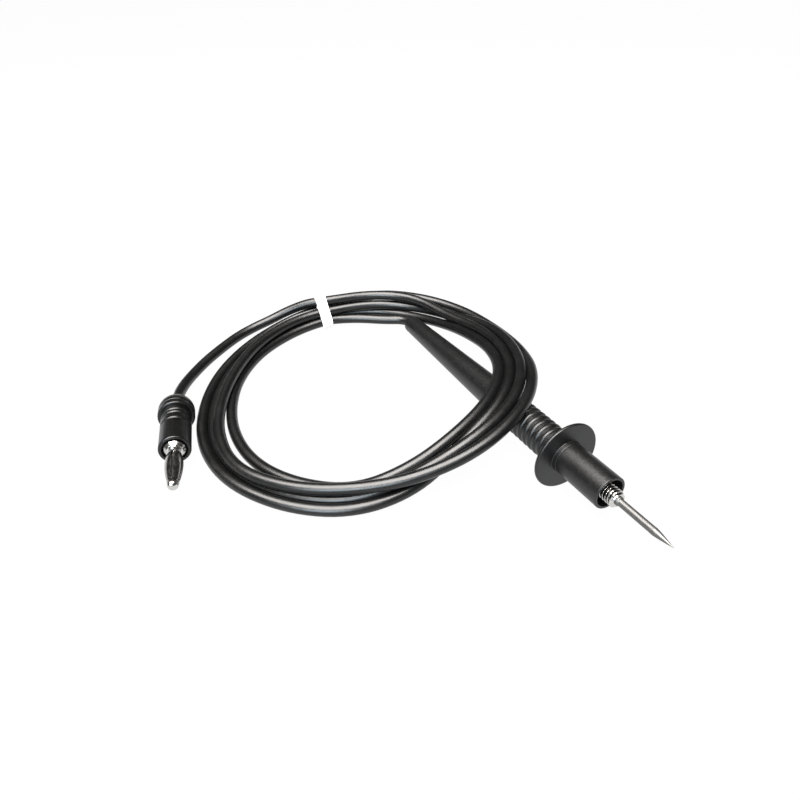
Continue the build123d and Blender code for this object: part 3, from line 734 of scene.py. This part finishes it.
def make_shrink_sleeve():
    lap, wall, end = 3.0, 0.35, 0.6
    step = CUP_START_S - 0.8
    inner = [
        (JACKET_END_S - lap, CORD_R), (JACKET_END_S, CORD_R, 1.0), (step, CUP_R, 1.0), (end, CUP_R),
    ]
    outer = [(s, r + wall, *rest) for s, r, *rest in reversed(inner)]

    def relief(s, r, angle):
        """The soft ripples of a sleeve that shrank unevenly."""
        if r <= CORD_R + wall / 2 + 0.1:
            return 0.0
        return 0.02 * sin(5 * angle + s) * sin(1.7 * s)

    finish_mesh(
        "shrunk_sleeve", turned(filleted(inner) + filleted(outer), 72, relief), PROBE,
        "shrink_sleeve", "probe_and_lead", "insulating_sleeve",
    )


def make_ferrule():
    start, end, outer, edge = CHAMBER_START_S, -13.5, 2.45, 0.3
    squeezed = 0.92

    def relief(s, r, angle):
        """Six flats pressed by the crimping pliers."""
        if r < CORD_R + 0.3 or not start + 0.5 < s < end - 0.5:
            return 0.0
        within = (angle + pi / 6) % (pi / 3) - pi / 6
        return min(0.0, squeezed * outer / cos(within) - outer)

    stations = [start, *even(start + edge, end - edge, 0.1), end]
    outside = [Vector((s, outer)) for s in stations]
    outline = [Vector((start, CORD_R)), *outside, Vector((end, CORD_R))]
    finish_mesh(
        "crimped_ferrule", turned(outline, 96, relief), PROBE, "nickel_plate", "probe_and_lead",
        "crimp_ferrule", sharp=25,
    )


def make_solder():
    reach, rise = 0.9, CUP_R - 0.5 - CORE_R
    fillet_of_solder = []
    for t in even(0.0, 1.0, 0.1):
        fillet_of_solder.append(Vector((CUP_START_S - reach + reach * t, CORE_R + rise * t**2.2)))
    inside = ((CUP_START_S, CUP_BORE_R), (CUP_FLOOR_S, CUP_BORE_R), (CUP_FLOOR_S, CORE_R))
    builder = turned(fillet_of_solder + [Vector(corner) for corner in inside], 64)
    finish_mesh("solder_fillet", builder, PROBE, "solder", "probe_and_lead", "solder_joint")


def make_strands(name, place, start, end, node):
    """Seven strands, six of them laid round the middle one."""
    strand_r, lay, sides = CORE_R / 3, 11.0, 10
    spokes = [2 * pi * side / sides for side in range(sides)]
    builder = bmesh.new()
    for strand in range(7):
        reach = 0.0 if strand == 0 else 2 * strand_r
        rings = []
        for s in even(start, end, 0.5):
            turn = 2 * pi * (s / lay + strand / 6)
            y, z = reach * cos(turn), reach * sin(turn)
            rings.append([
                builder.verts.new((s, y + strand_r * cos(a), z + strand_r * sin(a))) for a in spokes
            ])
        for one, two in zip(rings, rings[1:]):
            for side in range(sides):
                after = (side + 1) % sides
                builder.faces.new((one[side], one[after], two[after], two[side]))
        builder.faces.new(rings[0])
        builder.faces.new(rings[-1])
    finish_mesh(name, builder, place, "copper_strand", "probe_and_lead", node, sharp=60)


make_shrink_sleeve()
make_ferrule()
make_solder()
make_strands("probe_strands", PROBE, TAIL_S, CUP_FLOOR_S, "core_probe_end")
make_strands("plug_strands", PLUG, CAP_REAR_U, PLUG_STRANDS_END_U, "core_plug_end")


# ---------------------------------------------------------------- the cable tie
TIE_LEAN, TIE_WIDTH, STRAP_T, STRAP_GAP = 5.0, 4.1, 1.1, 0.1
HEAD_LONG, HEAD_WIDE, HEAD_PROUD = 5.2, 3.6, 1.4
HEAD_PLACE, HEAD_TURN = (55.5, 3.4), 62
TIE_HEIGHT = TIE_SLOTS[2][1]


def tie_place():
    """A matrix with X away from the coil's centre, Y up the leaning tie and Z along the cords."""
    angle, lean = radians(TIE_ANGLE), radians(TIE_LEAN)
    out = Vector((cos(angle), sin(angle), 0))
    up = Vector((0, 0, 1)) * cos(lean) + Vector((-sin(angle), cos(angle), 0)) * sin(lean)
    origin = around_coil(TIE_ANGLE, 0, TIE_HEIGHT) * MM
    return Matrix.Translation(origin) @ Matrix((out, up, out.cross(up))).transposed().to_4x4()


def in_tie(radius, height):
    """A point of the leaning tie's plane, from its radius and height in the coil."""
    return Vector((radius, (height - TIE_HEIGHT) / cos(radians(TIE_LEAN))))


def strap_line():
    """Points and outward directions along the strap's inner face, round the cords in the tie."""
    hull = [in_tie(*TIE_SLOTS[k]) for k in (0, 1, 3, 4, 2)]
    line = []
    for before, here, after in zip(hull[-1:] + hull, hull, hull[1:] + hull[:1]):
        edge_in, edge_out = here - before, after - here
        first = atan2(-edge_in.x, edge_in.y)
        turn = (atan2(-edge_out.x, edge_out.y) - first) % (2 * pi)
        for k in range(9):
            a = first + turn * k / 8
            outward = Vector((cos(a), sin(a)))
            line.append((here + outward * (CORD_R + STRAP_GAP), outward))
    return line


def make_tie():
    builder = bmesh.new()
    half, inner_edge, outer_edge = TIE_WIDTH / 2, 0.15, 0.32
    section = filleted([
        (0, -half, inner_edge), (STRAP_T, -half, outer_edge), (STRAP_T, half, outer_edge),
        (0, half, inner_edge),
    ], 4)
    rings = []
    for point, outward in strap_line():
        rings.append([
            builder.verts.new((*(point + outward * out), along)) for out, along in section
        ])
    count = len(section)
    for one, two in zip(rings, rings[1:] + rings[:1]):
        for k in range(count):
            after = (k + 1) % count
            builder.faces.new((one[k], one[after], two[after], two[k]))
    head = Matrix.Translation(in_tie(*HEAD_PLACE).to_3d())
    head = head @ Matrix.Rotation(radians(HEAD_TURN), 4, "Z")
    # middle, size and rounding of the head, of the strap's cut end, and of the lip where it enters
    boxes = (
        ((0, 0, 0), (HEAD_LONG, HEAD_WIDE, TIE_WIDTH + HEAD_PROUD), 0.65),
        ((HEAD_LONG / 2 + 0.5, 0.35, 0), (1.6, STRAP_T, TIE_WIDTH - 0.1), 0.2),
        ((-HEAD_LONG / 2 - 0.1, -0.2, 0), (0.7, 1.7, TIE_WIDTH - 0.9), 0.2),
    )
    for centre, size, edge in boxes:
        made = bmesh.ops.create_cube(builder, size=1.0)["verts"]
        bmesh.ops.scale(builder, vec=size, verts=made)
        bmesh.ops.translate(builder, vec=centre, verts=made)
        bmesh.ops.transform(builder, matrix=head, verts=made)
        edges = list({e for v in made for e in v.link_edges})
        bmesh.ops.bevel(
            builder, geom=edges, offset=edge, segments=4, affect="EDGES", profile=0.6
        )
    finish_mesh(
        "tie_strap", builder, tie_place(), "tie_nylon", "probe_and_lead", "cable_tie", sharp=40
    )


make_tie()


# ---------------------------------------------------------------- CAD pieces that stay
for subpart in frame["record"]["subparts"]:
    node = frame["nodes"][subpart["node"]]
    if not node.material_slots:
        node.data.materials.append(None)
    for material_slot in node.material_slots:
        material_slot.material = MATERIALS[subpart["material_slot"]]

# ---------------------------------------------------------------- floor and light
FLOOR_SIZE = 6.0
FLOOR_DROP = 0.00005
FLOOR_GLOW = 0.98
FLOOR_WHITE = (0.01, 0.01, 0.01)
WORLD_GLOW = 0.04
LIGHT_TARGET = Vector((-0.02, -0.03, 0.0))
# direction from the target, distance, size, power and colour
MAIN_LIGHT = (Vector((0.05, -0.2, 0.97)), 0.8, (0.8, 0.7), 34.0, (1.0, 0.965, 0.93))
SIDE_LIGHT = (Vector((0.65, -0.6, 0.5)), 0.9, (0.4, 0.4), 9.0, (0.8, 0.92, 1.0))


def make_floor():
    builder = bmesh.new()
    half = FLOOR_SIZE / 2
    corners = ((-half, -half), (half, -half), (half, half), (-half, half))
    builder.faces.new([builder.verts.new((x, y, -FLOOR_DROP)) for x, y in corners])
    mesh = bpy.data.meshes.new("floor")
    builder.to_mesh(mesh)
    builder.free()
    floor = bpy.data.objects.new("floor", mesh)
    scene.collection.objects.link(floor)
    shader = Shader("floor_white", FLOOR_WHITE, 0.9)
    shader.set("Specular IOR Level", 0.0)
    shader.set("Emission Color", (1.0, 1.0, 1.0, 1.0))
    shader.set("Emission Strength", FLOOR_GLOW)
    mesh.materials.append(shader.material)


def make_softbox(name, direction, distance, size, power, colour):
    light = bpy.data.lights.new(name, "AREA")
    light.shape = "RECTANGLE"
    light.size, light.size_y = size
    light.energy = power
    light.color = colour
    lamp = bpy.data.objects.new(name, light)
    scene.collection.objects.link(lamp)
    lamp.location = LIGHT_TARGET + direction.normalized() * distance
    lamp.rotation_euler = direction.to_track_quat("Z", "Y").to_euler()


def make_light():
    world = bpy.data.worlds.new("studio")
    world.use_nodes = True
    background = world.node_tree.nodes["Background"].inputs
    background["Color"].default_value = (1, 1, 1, 1)
    background["Strength"].default_value = WORLD_GLOW
    scene.world = world
    make_softbox("top_softbox", *MAIN_LIGHT)
    make_softbox("side_softbox", *SIDE_LIGHT)
    scene.view_settings.view_transform = "Standard"


make_floor()
make_light()
